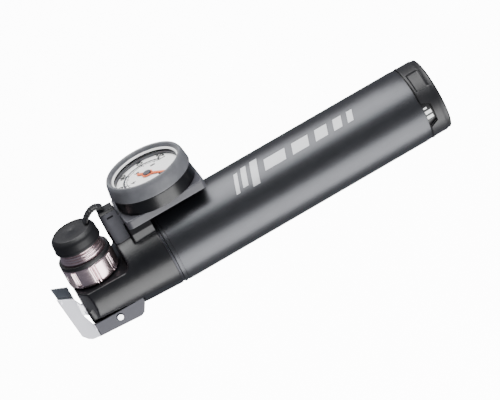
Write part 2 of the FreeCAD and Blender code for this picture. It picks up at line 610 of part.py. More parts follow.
def make_gauge():
    """Case, bezel, lens, dial, movement and needle."""
    inside = "case_radius - case_wall"
    floor = "saddle_top + case_floor"
    case = turned("case_cup", [("0", "saddle_top"), ("case_radius", "saddle_top"),
                               ("case_radius", "bezel_foot"), (inside, "bezel_foot"), (inside, floor), ("0", floor)], x=GAUGE_X)
    hole = rod("case_stem_hole", "stem_radius", "saddle_top", x=STEM_X, z="stem_foot")
    node(cut("gauge_case", case, [hole]), "gauge_case")
    lens_foot = "lens_height - lens_thickness"
    node(turned("gauge_bezel", [(inside, "bezel_foot"), (BEZEL_RADIUS, "bezel_foot"),
                                (f"{BEZEL_RADIUS} - 0.75", "bezel_crease"),
                                (f"{BEZEL_RADIUS} - 1.4", "bezel_top"),
                                (f"{BEZEL_LIP} + 0.55", "lens_height + 1.1"), (BEZEL_LIP, "lens_height"),
                                (inside, "lens_height")], x=GAUGE_X), "gauge_bezel")
    node(ring("gauge_lens", "0", inside, lens_foot, "lens_height", x=GAUGE_X), "gauge_lens")
    node(ring("gauge_dial", "2 * arbor_radius", f"{BEZEL_LIP} - 0.2", "dial_height - dial_thickness",
              "dial_height", x=GAUGE_X), "gauge_dial")
    node(ring("movement_plate", "arbor_radius + fit", f"{BEZEL_LIP} - movement_rim", floor,
              f"{floor} + movement_thickness", x=GAUGE_X),
         "movement_plate")
    node(rod("gauge_stem", "stem_radius", "bezel_foot - 1 - stem_foot", x=STEM_X, z="stem_foot"),
         "gauge_stem")
    bourdon = doc.addObject("Part::Torus", "bourdon_tube")
    bind(bourdon, Radius1=BOURDON_RADIUS, Radius2="bourdon_tube", Angle3="240")
    clear_of_stem = 180 + amount(f"2 * asin(stem_radius / (2 * {BOURDON_RADIUS}))")
    node(place(bourdon, GAUGE_X, "0", f"{floor} + bourdon_lift", Rotation(Vector(0, 0, 1), clear_of_stem)),
         "bourdon_tube")
    make_needle(floor)


def make_needle(floor):
    """Pointer, spindle with its pinion, and the toothed sector that turns it."""
    rest = Rotation(Vector(0, 0, 1), -45)
    face = "dial_height + needle_lift"
    blade = [("-needle_tail", "-blade / 2"), (NEEDLE_LENGTH, "-blade / 2"), (NEEDLE_LENGTH, "blade / 2"),
             ("-needle_tail", "blade / 2")]
    vane = plate("needle_vane", blade, "blade_width", x=GAUGE_X, z=face, turn=rest)
    hub = rod("needle_disc", "hub_radius", "disc_thickness", x=GAUGE_X, z=f"{face} - disc_thickness / 2")
    bore = rod("needle_bore", "arbor_radius", "2 * needle_lift", x=GAUGE_X, z="dial_height")
    node(cut("gauge_needle", union("needle_solid", [vane, hub]), [bore]), "gauge_needle")
    pinion = "bezel_foot - gear_drop - 0.1"
    node(turned("needle_arbor", [("0", floor), ("arbor_radius", floor), ("arbor_radius", pinion),
                                 ("pinion_radius", pinion), ("pinion_radius", f"{pinion} + pinion_length"),
                                 ("arbor_radius", f"{pinion} + pinion_length"),
                                 ("arbor_radius", f"{face} + disc_thickness / 2"),
                                 ("0", f"{face} + disc_thickness / 2")], x=GAUGE_X), "needle_arbor")
    pivot_x = f"{GAUGE_X} - sector_reach"
    pivot_foot = f"({floor} + movement_thickness)"
    pivot = rod("sector_pivot", "arbor_radius",
                f"bezel_foot - gear_drop + gear_thickness + 0.2 - {pivot_foot}", x=pivot_x, z=pivot_foot)
    node(pivot, "sector_pivot")
    fan = doc.addObject("Part::Cylinder", "sector_fan")
    bind(fan, Radius="sector_reach - pinion_radius - gap", Height="gear_thickness", Angle="90")
    place(fan, pivot_x, "0", "bezel_foot - gear_drop", Rotation(Vector(0, 0, 1), -45 - SECTOR_SWING / 2))
    boss = rod("sector_boss", "2 * arbor_radius", "gear_thickness", x=pivot_x, z="bezel_foot - gear_drop")
    bore = rod("sector_bore", "arbor_radius + fit", "3 * gear_thickness", x=pivot_x,
               z="bezel_foot - gear_drop - gear_thickness")
    node(cut("sector_gear", union("sector_solid", [fan, boss]), [bore]), "sector_gear")


# ---------------------------------------------------------------- barrel
def make_barrel():
    """Sliding barrel, its bush and wiper, and the end plug with the legend ring."""
    lip, groove = "joint_x + lip_width", "joint_x + lip_width + groove_width"
    end = "joint_x + barrel_length"
    node(turned("barrel", [("barrel_bore", "joint_x"), ("barrel_radius", "joint_x"), ("barrel_radius", lip),
                           ("barrel_radius - groove_depth", lip), ("barrel_radius - groove_depth", groove),
                           ("barrel_radius", groove), ("barrel_radius", end), ("barrel_bore", end)], "X"),
         "barrel")
    start = "joint_x + bush_setback"
    stop = f"{start} + bush_length"
    middle = f"{start} + bush_length / 2"
    inside = "tube_radius + fit"
    node(turned("front_bush", [(inside, start), ("barrel_bore", start), ("barrel_bore", stop), (inside, stop),
                               (inside, f"{middle} + wiper_width / 2"),
                               (f"{inside} + wiper_depth", f"{middle} + wiper_width / 2"),
                               (f"{inside} + wiper_depth", f"{middle} - wiper_width / 2"),
                               (inside, f"{middle} - wiper_width / 2")], "X"), "front_bush")
    node(ring("bush_wiper", inside, f"{inside} + wiper_depth", f"{middle} - wiper_width / 2",
              f"{middle} + wiper_width / 2", "X"), "bush_wiper")
    neck_end = f"{end} + neck_length"
    node(turned("end_plug", [("0", f"{end} - plug_length"), ("barrel_bore", f"{end} - plug_length"),
                             ("barrel_bore", end), ("neck_radius", end), ("neck_radius", neck_end),
                             ("screw_radius", neck_end), ("screw_radius", f"{end} - screw_grip"),
                             ("0", f"{end} - screw_grip")], "X"), "end_plug")


def make_selector():
    """Legend ring, turning cap with its window, its screw and the spring-loaded ball."""
    end = "joint_x + barrel_length"
    neck_end = f"{end} + neck_length"
    legend_edge = "barrel_radius - cap_wall - gap"
    legend = ring("legend_solid", "neck_radius", legend_edge, end, neck_end, "X")
    ball_x = f"{end} + neck_length / 2"
    pocket = rod("ball_pocket", "ball_radius + fit", "barrel_radius", x=ball_x, z="neck_radius + ball_floor")
    node(cut("legend_ring", legend, [pocket]), "legend_ring")
    ball = doc.addObject("Part::Sphere", "detent_ball")
    bind(ball, Radius="ball_radius")
    node(place(ball, ball_x, "0", f"{legend_edge} - ball_radius + gap / 3"), "detent_ball")
    spring_foot = "(neck_radius + ball_floor + ball_wire)"
    spring_height = f"{legend_edge} - 2 * ball_radius - {spring_foot} - 2 * ball_wire"
    node(coil("detent_spring", "ball_spring", "ball_wire", 4, spring_height, ball_x, "0", spring_foot, None),
         "detent_spring")
    tail = f"{end} + gap + cap_length"
    floor = f"{neck_end} + gap"
    recess = f"{tail} - screw_head_height - gap"
    shell = turned("cap_shell", [("barrel_radius - cap_wall", f"{end} + gap"),
                                 ("barrel_radius", f"{end} + gap"),
                                 ("barrel_radius", f"{tail} - cap_round"),
                                 ("barrel_radius - 0.29 * cap_round", f"{tail} - 0.29 * cap_round"),
                                 ("barrel_radius - cap_round", tail), ("screw_head_radius + gap", tail),
                                 ("screw_head_radius + gap", recess), ("screw_radius + gap", recess),
                                 ("screw_radius + gap", floor), ("barrel_radius - cap_wall", floor)], "X")
    window = [(f"{end} - 1", "window_half + window_taper / window_depth"),
              (f"{end} + window_depth", "window_half - window_taper"),
              (f"{end} + window_depth", "-window_half + window_taper"),
              (f"{end} - 1", "-window_half - window_taper / window_depth")]
    notch = plate("cap_window", window, "barrel_radius", y="-barrel_radius")
    node(cut("mode_cap", shell, [notch]), "mode_cap")
    start = f"{end} - screw_grip"
    node(turned("cap_screw", [("0", start), ("screw_radius", start), ("screw_radius", f"{recess} + 0.1"),
                              ("screw_head_radius", f"{recess} + 0.1"), ("screw_head_radius", tail),
                              ("0", tail)], "X"), "cap_screw")


make_head()
make_head_fittings()
make_chuck()
make_lever()
make_bracket()
make_gauge()
make_barrel()
make_selector()
doc.recompute()

failed = [item.Name for item in doc.Objects if {"Invalid", "Error"} & set(item.State)]
failed += [item.Label for item in subparts if item.Shape.isNull() or not item.Shape.isValid()]
if failed:
    raise RuntimeError(f"these objects failed: {failed}")
os.makedirs("parts", exist_ok=True)
for piece in subparts:
    piece.Shape.exportStep(f"parts/{piece.Label}.step")
print(len(subparts), "sub-parts")
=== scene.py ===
"""The looks of a bicycle mini pump: sliding barrel, thumb-lock chuck, dial gauge and selector cap.

Lengths in the classes are millimetres, measured as in the CAD: x from the chuck's axis, heights from
the barrel's centre line. Every mesh is put into metres in the CAD frame before it becomes an object.
"""
from __future__ import annotations

import logging
import math
from dataclasses import dataclass
from enum import Enum
from typing import Callable, Sequence

import bmesh
import bpy
import numpy as np
from mathutils import Matrix, Vector


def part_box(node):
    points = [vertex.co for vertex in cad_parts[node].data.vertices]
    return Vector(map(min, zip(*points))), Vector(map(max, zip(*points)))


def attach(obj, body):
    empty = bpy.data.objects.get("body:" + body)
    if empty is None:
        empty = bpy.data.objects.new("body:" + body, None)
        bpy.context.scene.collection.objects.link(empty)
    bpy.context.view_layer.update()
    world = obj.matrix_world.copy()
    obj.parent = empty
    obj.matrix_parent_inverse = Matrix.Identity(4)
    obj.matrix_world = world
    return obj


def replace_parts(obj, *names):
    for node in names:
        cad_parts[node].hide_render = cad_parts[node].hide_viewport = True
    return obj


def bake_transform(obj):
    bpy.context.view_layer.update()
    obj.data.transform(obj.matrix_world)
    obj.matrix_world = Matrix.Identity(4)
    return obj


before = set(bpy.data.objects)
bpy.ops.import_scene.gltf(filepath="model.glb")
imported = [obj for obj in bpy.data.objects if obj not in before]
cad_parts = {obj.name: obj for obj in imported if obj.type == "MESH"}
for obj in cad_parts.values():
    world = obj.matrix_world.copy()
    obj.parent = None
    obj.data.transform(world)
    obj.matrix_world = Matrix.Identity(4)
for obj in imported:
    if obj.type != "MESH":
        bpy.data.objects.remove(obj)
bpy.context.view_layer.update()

LOG = logging.getLogger("mini_pump")
MM = 0.001
TAU = 2.0 * math.pi
BOX_FACES = np.array([[0, 1, 3, 2], [4, 6, 7, 5], [0, 4, 5, 1],
                      [2, 3, 7, 6], [0, 2, 6, 4], [1, 5, 7, 3]])


def low(node: str) -> np.ndarray:
    """The lowest corner of a CAD node, in millimetres."""
    return np.array(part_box(node)[0]) / MM


def high(node: str) -> np.ndarray:
    """The highest corner of a CAD node, in millimetres."""
    return np.array(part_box(node)[1]) / MM


BARREL_AXIS = float(low("barrel")[2] + high("barrel")[2]) / 2.0
GAUGE_X = float(low("gauge_bezel")[0] + high("gauge_bezel")[0]) / 2.0


class Axis(Enum):
    """The line that a turned piece is turned about."""

    CHUCK = "chuck"
    GAUGE = "gauge"
    BARREL = "barrel"
    PIN = "pin"


# ---------------------------------------------------------------- surfaces
def to_frame(points: np.ndarray, axis: Axis) -> np.ndarray:
    """Moves points from a piece's own frame into the CAD frame.

    Args:
        points: Points of the last dimension (across, side, along), in millimetres; along is the
            distance along the axis, across and side span the plane that the axis crosses.
        axis: The line that the piece is turned about.

    Returns:
        The points as (x, y, z) in millimetres in the CAD frame.
    """
    across, side, along = points[..., 0], points[..., 1], points[..., 2]
    if axis is Axis.BARREL:
        return np.stack([along, across, side + BARREL_AXIS], axis=-1)
    if axis is Axis.PIN:
        pin = (low("lever_pin") + high("lever_pin")) / 2.0
        return np.stack([across + pin[0], along, side + pin[2]], axis=-1)
    shift = GAUGE_X if axis is Axis.GAUGE else 0.0
    return np.stack([across + shift, side, along + BARREL_AXIS], axis=-1)


def rounded(corners: Sequence[tuple[float, float, float]], steps: int = 5) -> np.ndarray:
    """A closed outline whose corners are rounded.

    Each corner (a, b, radius) is replaced by a parabola that starts and ends a radius away from it
    along its two sides: (1 - t)^2 start + 2 t (1 - t) corner + t^2 end.

    Args:
        corners: The corners with their radii.
        steps: Points on each rounded corner.

    Returns:
        The outline's points, one row each.
    """
    spots = np.array([corner[:2] for corner in corners], float)
    reach = np.array([corner[2] for corner in corners], float)[:, None]
    before, after = np.roll(spots, 1, axis=0) - spots, np.roll(spots, -1, axis=0) - spots
    span = [np.linalg.norm(side, axis=1, keepdims=True) for side in (before, after)]
    start = spots + before / span[0] * np.minimum(reach, 0.49 * span[0])
    end = spots + after / span[1] * np.minimum(reach, 0.49 * span[1])
    t = np.linspace(0.0, 1.0, steps)[None, :, None]
    curve = (1 - t) ** 2 * start[:, None] + 2 * t * (1 - t) * spots[:, None] + t**2 * end[:, None]
    return curve.reshape(-1, 2)


def object_from(name: str, vertices: np.ndarray, faces: np.ndarray | list, sharp: float = 32.0
                ) -> bpy.types.Object:
    """Makes an object from points in millimetres, merges doubles and points its faces outwards.

    Args:
        name: The piece's name.
        vertices: Points, one row each.
        faces: Vertex numbers of each face.
        sharp: Edges that turn by more than this angle, in degrees, stay sharp.

    Returns:
        The new object, linked to the scene.
    """
    mesh = bpy.data.meshes.new(name)
    mesh.from_pydata((vertices * MM).tolist(), [], faces if isinstance(faces, list) else faces.tolist())
    work = bmesh.new()
    work.from_mesh(mesh)
    bmesh.ops.remove_doubles(work, verts=work.verts, dist=2e-7)
    bmesh.ops.recalc_face_normals(work, faces=work.faces)
    work.to_mesh(mesh)
    work.free()
    smooth(mesh, sharp)
    piece = bpy.data.objects.new(name, mesh)
    bpy.context.scene.collection.objects.link(piece)
    return piece


def smooth(mesh: bpy.types.Mesh, sharp: float) -> None:
    """Shades a mesh smooth.

    Args:
        mesh: The mesh to shade.
        sharp: Edges that turn by more than this angle, in degrees, stay sharp.
    """
    mesh.polygons.foreach_set("use_smooth", np.ones(len(mesh.polygons), bool))
    mesh.set_sharp_from_angle(angle=math.radians(sharp))
    mesh.update()


def wrapped_faces(rows: int, columns: int, close_rows: bool = True) -> np.ndarray:
    """Quads over a grid of points whose columns join up end to end.

    Args:
        rows: Rows of the grid.
        columns: Columns of the grid.
        close_rows: Whether the last row joins the first as well.

    Returns:
        Vertex numbers, one quad to a row.
    """
    row = np.arange(rows if close_rows else rows - 1)[:, None]
    column = np.arange(columns)[None, :]
    next_row, next_column = (row + 1) % rows, (column + 1) % columns
    corners = [row * columns + column, row * columns + next_column,
               next_row * columns + next_column, next_row * columns + column]
    return np.stack([np.broadcast_to(c, (row.size, columns)) for c in corners], axis=-1).reshape(-1, 4)


def capped_faces(rows: int, columns: int) -> list[list[int]]:
    """Faces of a tube of rings of points, with one flat face over each end.

    Args:
        rows: Rings along the tube.
        columns: Points in each ring.

    Returns:
        Vertex numbers of each face.
    """
    ends = [list(range(columns)), list(range((rows - 1) * columns, rows * columns))]
    return wrapped_faces(rows, columns, close_rows=False).tolist() + ends


def grid_quads(grid: np.ndarray) -> np.ndarray:
    """The quads of a grid of vertex numbers."""
    return np.stack([grid[:-1, :-1], grid[1:, :-1], grid[1:, 1:], grid[:-1, 1:]], -1).reshape(-1, 4)


def turned(name: str, outline: np.ndarray, axis: Axis, segments: int = 128,
           shape: Callable[[np.ndarray, np.ndarray, np.ndarray], tuple] | None = None,
           sharp: float = 32.0) -> bpy.types.Object:
    """A turned piece: point (r, h) of the outline goes to (r cos a, r sin a, h) for each angle a.

    Args:
        name: The piece's name.
        outline: Closed outline of (radius, distance along the axis).
        axis: The line that it is turned about.
        segments: Steps round the axis.
        shape: Optional function of (angle, radius, distance) that returns a changed radius and
            distance.
        sharp: See object_from.

    Returns:
        The new object.
    """
    angle = np.linspace(0.0, TAU, segments, endpoint=False)[None, :]
    radius = np.repeat(outline[:, :1], segments, axis=1)
    along = np.repeat(outline[:, 1:], segments, axis=1)
    if shape:
        radius, along = shape(np.broadcast_to(angle, radius.shape), radius, along)
    points = np.stack([radius * np.cos(angle), radius * np.sin(angle), along], axis=-1)
    return object_from(name, to_frame(points, axis).reshape(-1, 3),
                       wrapped_faces(len(outline), segments), sharp)


def moulded(node: str, name: str, voxel: float, passes: int = 4) -> bpy.types.Object:
    """A CAD node's solid with every edge softened, as a moulding or a tumbled pressing has them.

    The solid is rebuilt on a fine lattice and its points are drawn towards their neighbours' mean.

    Args:
        node: The CAD node to copy and stand for.
        name: The new piece's name.
        voxel: The lattice's pitch in millimetres.
        passes: How often the points are averaged.

    Returns:
        The new object, which replaces the node.
    """
    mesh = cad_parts[node].data.copy()
    mesh.materials.clear()
    work = bmesh.new()
    work.from_mesh(mesh)
    bmesh.ops.remove_doubles(work, verts=work.verts, dist=1e-6)
    work.to_mesh(mesh)
    work.free()
    piece = bpy.data.objects.new(name, mesh)
    bpy.context.scene.collection.objects.link(piece)
    lattice = piece.modifiers.new("lattice", "REMESH")
    lattice.mode = "VOXEL"
    lattice.voxel_size = voxel * MM
    ease = piece.modifiers.new("ease", "SMOOTH")
    ease.factor = 0.5
    ease.iterations = passes
    bake_modifiers(piece)
    smooth(piece.data, 60.0)
    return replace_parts(piece, node)


def bake_modifiers(piece: bpy.types.Object) -> None:
    """Puts what the modifiers make into the mesh itself.

    Args:
        piece: The object whose modifiers are used up.
    """
    graph = bpy.context.evaluated_depsgraph_get()
    mesh = bpy.data.meshes.new_from_object(piece.evaluated_get(graph))
    piece.modifiers.clear()
    piece.data = mesh


def joined(name: str, parts: Sequence[tuple[np.ndarray, np.ndarray]]) -> bpy.types.Object:
    """One object from several sets of points and faces.

    Args:
        name: The piece's name.
        parts: Points in millimetres and rows of vertex numbers, one pair to a part.

    Returns:
        The new object.
    """
    points, rows = zip(*parts)
    offsets = np.cumsum([0] + [len(part) for part in points[:-1]])
    faces = [face for part, offset in zip(rows, offsets) for face in (part + offset).tolist()]
    return object_from(name, np.concatenate(points), faces)


# ---------------------------------------------------------------- finishes
@dataclass(frozen=True)
class Finish:
    """A surface finish: its colour, how rough and metallic it is, and its fine relief.

    Attributes:
        name: The material's name.
        color: Base colour, linear.
        metallic: Zero for plastics and rubber, one for bare metal.
        roughness: Mean roughness.
        spread: How far the roughness wanders either way.
        grain: Size of the relief's grains, in millimetres.
        relief: Height of the relief, in millimetres.
        stretch: Scale of the grain along x, y and z; a small value draws it out into lines.
        mottle: How far the colour wanders, as a share of itself.
        coat: Weight of a clear coat.
        alpha: Opacity.
        specular: Strength of the surface reflection; one half is a usual plastic.
    """

    name: str
    color: tuple[float, float, float]
    metallic: float = 0.0
    roughness: float = 0.5
    spread: float = 0.06
    grain: float = 0.35
    relief: float = 0.012
    stretch: tuple[float, float, float] = (1.0, 1.0, 1.0)
    mottle: float = 0.12
    coat: float = 0.0
    alpha: float = 1.0
    specular: float = 0.5

    def material(self) -> bpy.types.Material:
        """The finish as a node material, made once and then reused.

        A fine noise gives the relief, and a broad one wanders the colour and the roughness.

        Returns:
            The material.
        """
        title = f"finish_{self.name}"
        found = bpy.data.materials.get(title)
        if found:
            return found
        made = bpy.data.materials.new(title)
        made.use_nodes = True
        nodes, links = made.node_tree.nodes, made.node_tree.links
        shader = nodes["Principled BSDF"]
        shader.inputs["Metallic"].default_value = self.metallic
        shader.inputs["Coat Weight"].default_value = self.coat
        shader.inputs["Alpha"].default_value = self.alpha
        shader.inputs["Specular IOR Level"].default_value = self.specular
        place = nodes.new("ShaderNodeTexCoord")
        scale = nodes.new("ShaderNodeMapping")
        scale.inputs["Scale"].default_value = self.stretch
        links.new(place.outputs["Object"], scale.inputs["Vector"])
        fine, broad = nodes.new("ShaderNodeTexNoise"), nodes.new("ShaderNodeTexNoise")
        fine.inputs["Scale"].default_value = 1.0 / (self.grain * MM)
        fine.inputs["Detail"].default_value = 3.0
        broad.inputs["Scale"].default_value = 1.0 / (12.0 * self.grain * MM)
        broad.inputs["Detail"].default_value = 4.0
        for noise in (fine, broad):
            links.new(scale.outputs["Vector"], noise.inputs["Vector"])
        tint = nodes.new("ShaderNodeValToRGB")
        dark, light = 1.0 - self.mottle, 1.0 + self.mottle
        tint.color_ramp.elements[0].position, tint.color_ramp.elements[1].position = 0.3, 0.7
        tint.color_ramp.elements[0].color = (*[c * dark for c in self.color], 1.0)
        tint.color_ramp.elements[1].color = (*[min(1.0, c * light) for c in self.color], 1.0)
        links.new(broad.outputs["Fac"], tint.inputs["Fac"])
        links.new(tint.outputs["Color"], shader.inputs["Base Color"])
        rough = nodes.new("ShaderNodeMapRange")
        rough.inputs["To Min"].default_value = max(0.02, self.roughness - self.spread)
        rough.inputs["To Max"].default_value = min(1.0, self.roughness + self.spread)
        links.new(broad.outputs["Fac"], rough.inputs["Value"])
        links.new(rough.outputs["Result"], shader.inputs["Roughness"])
        bump = nodes.new("ShaderNodeBump")
        bump.inputs["Distance"].default_value = self.relief * MM
        links.new(fine.outputs["Fac"], bump.inputs["Height"])
        links.new(bump.outputs["Normal"], shader.inputs["Normal"])
        return made


HEAD_PLASTIC = Finish("head_plastic", (0.006, 0.006, 0.007), roughness=0.32, grain=0.4, relief=0.012,
                      specular=0.34)
BRACKET_PLASTIC = Finish("bracket_plastic", (0.052, 0.052, 0.060), roughness=0.42, grain=0.4,
                         relief=0.015, specular=0.35)
BEZEL_PLASTIC = Finish("bezel_plastic", (0.100, 0.102, 0.110), roughness=0.40, grain=0.3, relief=0.008,
                       specular=0.4)
CASE_PLASTIC = Finish("case_plastic", (0.003, 0.003, 0.0035), roughness=0.3, grain=0.4, relief=0.01,
                      specular=0.35)
CAP_PLASTIC = Finish("cap_plastic", (0.010, 0.010, 0.011), roughness=0.4, grain=0.35, relief=0.012,
                     specular=0.3)
PALE_PLASTIC = Finish("pale_plastic", (0.80, 0.80, 0.78), roughness=0.45, grain=0.5, relief=0.01,
                      mottle=0.03)
RUBBER = Finish("black_rubber", (0.007, 0.007, 0.008), roughness=0.45, grain=0.3, relief=0.012,
                specular=0.3)
# Painted shade: a near-black, dull finish laid where shade falls, on faces under the gauge's saddle, on
# the bracket's sideways faces below it and on the post's slot.
PAINTED_SHADE = Finish("painted_shade_plastic", (0.003, 0.003, 0.004), roughness=0.6, grain=0.4, relief=0.01,
                  specular=0.08)
ANODISED = Finish("barrel_anodised", (0.050, 0.051, 0.055), metallic=0.85, roughness=0.36, spread=0.03,
                  grain=0.16, relief=0.004, stretch=(0.35, 1.0, 1.0), mottle=0.05)
PRINT = Finish("barrel_print", (0.34, 0.345, 0.355), metallic=0.3, roughness=0.42, grain=0.2,
               relief=0.004, mottle=0.04)
BRONZE = Finish("collar_bronze", (0.60, 0.47, 0.49), metallic=0.95, roughness=0.24, grain=0.15,
                relief=0.005, stretch=(1.0, 1.0, 4.0), mottle=0.08)
CHROME = Finish("lever_chrome", (0.86, 0.86, 0.92), metallic=0.25, roughness=0.34, spread=0.05,
                grain=0.5, relief=0.003, stretch=(0.15, 1.0, 1.0), mottle=0.03)
STEEL = Finish("turned_steel", (0.60, 0.60, 0.61), metallic=1.0, roughness=0.26, grain=0.2,
               relief=0.004)
ALLOY = Finish("turned_alloy", (0.66, 0.66, 0.67), metallic=1.0, roughness=0.3, grain=0.2, relief=0.004,
               stretch=(4.0, 1.0, 1.0))
BRASS = Finish("brass", (0.62, 0.42, 0.16), metallic=1.0, roughness=0.3, grain=0.2, relief=0.004)
DIAL_WHITE = Finish("dial_white", (0.92, 0.92, 0.90), roughness=0.5, grain=0.3, relief=0.002,
                    mottle=0.02)
DIAL_BLACK = Finish("dial_black", (0.006, 0.006, 0.007), roughness=0.5, grain=0.3, relief=0.002)
DIAL_GREY = Finish("dial_grey", (0.06, 0.06, 0.07), roughness=0.5, grain=0.3, relief=0.002)
DIAL_RED = Finish("dial_red", (0.80, 0.16, 0.05), roughness=0.45, grain=0.3, relief=0.002, mottle=0.05)
LENS = Finish("lens_clear", (0.03, 0.03, 0.03), roughness=0.05, spread=0.01, relief=0.0, mottle=0.01,
              alpha=0.06)
FLOOR = Finish("floor_pale", (0.82, 0.82, 0.82), roughness=0.9, spread=0.02, grain=4.0, relief=0.02,
               mottle=0.01)
PAD_RUBBER = Finish("pad_rubber", (0.022, 0.026, 0.033), roughness=0.45, grain=0.3, relief=0.02)
SATIN_STEEL = Finish("lever_satin", (0.034, 0.034, 0.040), metallic=0.8, roughness=0.42, spread=0.05,
                     grain=0.25, relief=0.006, mottle=0.08)


def dress(piece: bpy.types.Object, finish: Finish, body: str, slot: str, *nodes: str
          ) -> bpy.types.Object:
    """Gives a piece its finish and body, and hides the CAD nodes that it stands for.

    Args:
        piece: The piece to dress.
        finish: Its finish.
        body: The body that it rides on.
        slot: The record's material slot that it belongs to; not used.
        nodes: The CAD nodes that it stands for, if any.

    Returns:
        The same piece.
    """
    piece.data.materials.clear()
    piece.data.materials.append(finish.material())
    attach(piece, body)
    if nodes:
        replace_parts(piece, *nodes)
    LOG.info("%s rides on %s", piece.name, body)
    return piece


def two_tone(piece: bpy.types.Object, second: Finish,
             chosen: Callable[[bpy.types.MeshPolygon], bool]) -> None:
    """Gives some faces of a dressed piece a second finish.

    Args:
        piece: The dressed piece.
        second: The other finish.
        chosen: Says of a face whether it takes the other finish.
    """
    piece.data.materials.append(second.material())
    tones = [int(chosen(face)) for face in piece.data.polygons]
    piece.data.polygons.foreach_set("material_index", tones)


# ---------------------------------------------------------------- chuck
@dataclass
class Chuck:
    """The bronze collar with its flutes and rings, its black ring, and the dust cap with its strap."""

    lands: int = 8
    groove_half_angle: float = 0.045
    groove_pair_angle: float = 0.12
    flute_depth: float = 0.75
    flute_fade: float = 0.5
    ring_pitch: float = 1.15
    ring_depth: float = 0.52
    ring_sharpness: float = 0.6
    bore: float = 4.0
    inner: float = 7.5
    inner_top: float = 17.5
    foot: float = 5.7
    shoulder: float = 13.8
    shoulder_gap: float = 0.05
    grip_radius: float = 10.4
    ring_foot: float = 15.4
    ring_top: float = 19.5
    taper: tuple[float, float] = (9.15, 8.4)
    groove_radius: float = 9.0
    black_ring_radius: float = 10.32
    neck: float = 6.8
    neck_top: float = 22.0
    cap_bore: float = 7.1
    cap_foot: float = 20.0
    cap_roof: float = 23.8
    strap_places: tuple = ((5.9, 25.7), (8.0, 27.7), (10.3, 29.3), (12.3, 28.9), (14.2, 27.9))
    strap_half: float = 2.1
    strap_swell: float = 0.35
    strap_thick: float = 0.72
    strap_rib: float = 0.07
    strap_ribs: int = 8
    strap_squareness: float = 0.55
    blend_start: tuple[float, float, float] = (6.0, 0.0, 3.8)
    blend_end: tuple[float, float, float] = (13.0, 0.0, 6.2)

    def flutes(self, angle: np.ndarray, radius: np.ndarray, along: np.ndarray) -> tuple:
        """Pairs of narrow grooves between broad lands, cut only into the fluted part.

        The depth is a smooth bell of the angle's distance from the nearest groove, and it fades at
        both ends of the fluted part.

        Args:
            angle: Angle of each point round the axis, in radians.
            radius: Radius of each point.
            along: Height of each point.

        Returns:
            The changed radius, and the height as it was.
        """
        step = TAU / self.lands
        place = np.abs((angle + step / 2) % step - step / 2)
        away = np.abs(place - self.groove_pair_angle / 2)
        bell = np.exp(-((away / self.groove_half_angle) ** 4))
        fade = self.flute_fade
        rise = np.clip((along - self.foot - fade) / fade, 0, 1)
        fall = np.clip((self.shoulder - 0.4 - along) / fade, 0, 1)
        outside = radius > self.inner + 1.0
        return radius - self.flute_depth * bell * (rise * fall) * outside, along

    def collar(self) -> None:
        """The collar: a fluted grip below, a black ring in its groove and a ringed taper above.

        The taper's rings are the absolute value of a sine of the height, raised to a power below
        one so that the grooves between them are narrow.
        """
        top, foot = self.shoulder - self.shoulder_gap, self.foot
        grip = np.linspace(foot + 1.0, top - 0.25, 26)
        rings = np.linspace(self.ring_foot, self.ring_top - 0.15, 72)
        taper = np.interp(rings, [self.ring_foot, self.ring_top], self.taper)
        phase = math.pi * (rings - self.ring_foot) / self.ring_pitch
        wave = np.abs(np.sin(phase)) ** self.ring_sharpness
        outline = np.concatenate([
            np.array([(self.inner, foot), (9.75, foot), (10.25, foot + 0.45)]),
            np.stack([np.full(grip.size, self.grip_radius), grip], axis=1),
            np.array([(10.2, top), (self.groove_radius, top), (self.groove_radius, self.ring_foot)]),
            np.stack([taper - self.ring_depth * (1.0 - wave), rings], axis=1),
            rounded([(8.3, self.ring_top, 0.1), (self.neck, self.ring_top, 0.1),
                     (self.neck, self.neck_top, 0.4), (self.bore, self.neck_top, 0.4),
                     (self.bore, self.inner_top, 0.1), (self.inner, self.inner_top, 0.1)], 4)])
        dress(turned("collar_fluted", outline, Axis.CHUCK, 480, self.flutes, 40.0), BRONZE,
              "chuck_collar", "collar_alloy", "chuck_collar")
        inner, outer = self.groove_radius, self.black_ring_radius
        ring = rounded([(inner, self.shoulder, 0.1), (outer, self.shoulder + 0.05, 0.35),
                        (outer, self.ring_foot, 0.35), (inner, self.ring_foot, 0.1)])
        dress(turned("collar_black_ring", ring, Axis.CHUCK, 160), RUBBER, "chuck_collar",
              "black_rubber", "collar_oring")

    def dust_cap(self) -> None:
        """The dust cap: a short skirt, a bevelled top with a small dimple, hollow underneath."""
        dimple = np.array([(0.0, 25.62), (0.35, 25.64), (0.7, 25.78)])
        outside = [(7.4, 25.85, 0.5), (9.0, 24.3, 0.9), (9.15, 20.9, 0.2), (9.3, 20.6, 0.2)]
        hollow = [(9.25, self.cap_foot, 0.25), (self.cap_bore, self.cap_foot, 0.2),
                  (self.cap_bore, self.cap_roof, 0.4)]
        middle = np.array([(0.0, self.cap_roof)])
        outline = np.concatenate([dimple, rounded(outside + hollow, 6), middle])
        dress(turned("dust_cap_rubber", outline, Axis.CHUCK, 160), RUBBER, "dust_cap", "black_rubber",
              "dust_cap")

    def squared(self, wave: np.ndarray) -> np.ndarray:
        """A sine or cosine pushed towards a square wave, for a superellipse."""
        return np.sign(wave) * np.abs(wave) ** self.strap_squareness

